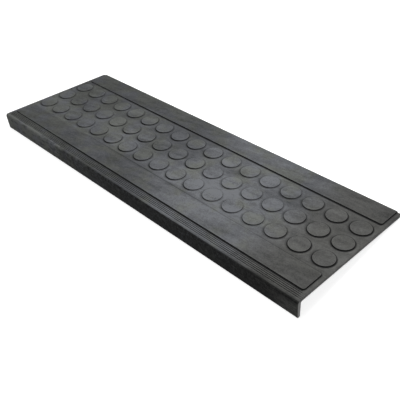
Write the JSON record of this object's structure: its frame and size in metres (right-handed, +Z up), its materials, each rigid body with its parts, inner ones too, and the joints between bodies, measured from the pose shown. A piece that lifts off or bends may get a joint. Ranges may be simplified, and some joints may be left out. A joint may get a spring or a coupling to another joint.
{
  "type": "stair tread mat",
  "caption": "Moulded rubber mat for one stair tread, with raised round studs, two plain raised panels, a finely grooved nose and a lip that hangs over the step's edge.",
  "frame": {"origin": "on the floor under the middle of the mat's box, with the mat lying as it comes to rest on its lip's foot and its back edge", "axes": "+X along the step, +Y from the lip to the back edge, +Z up; the plate falls about 6.6 degrees from the lip to the back edge"},
  "size_m": [0.75, 0.2502, 0.032],
  "materials": {
    "rubber": "matt black moulded rubber, slightly dusty on top"
  },
  "bodies": {
    "root": {"tread_mat": "rubber"}
  },
  "joints": []
}
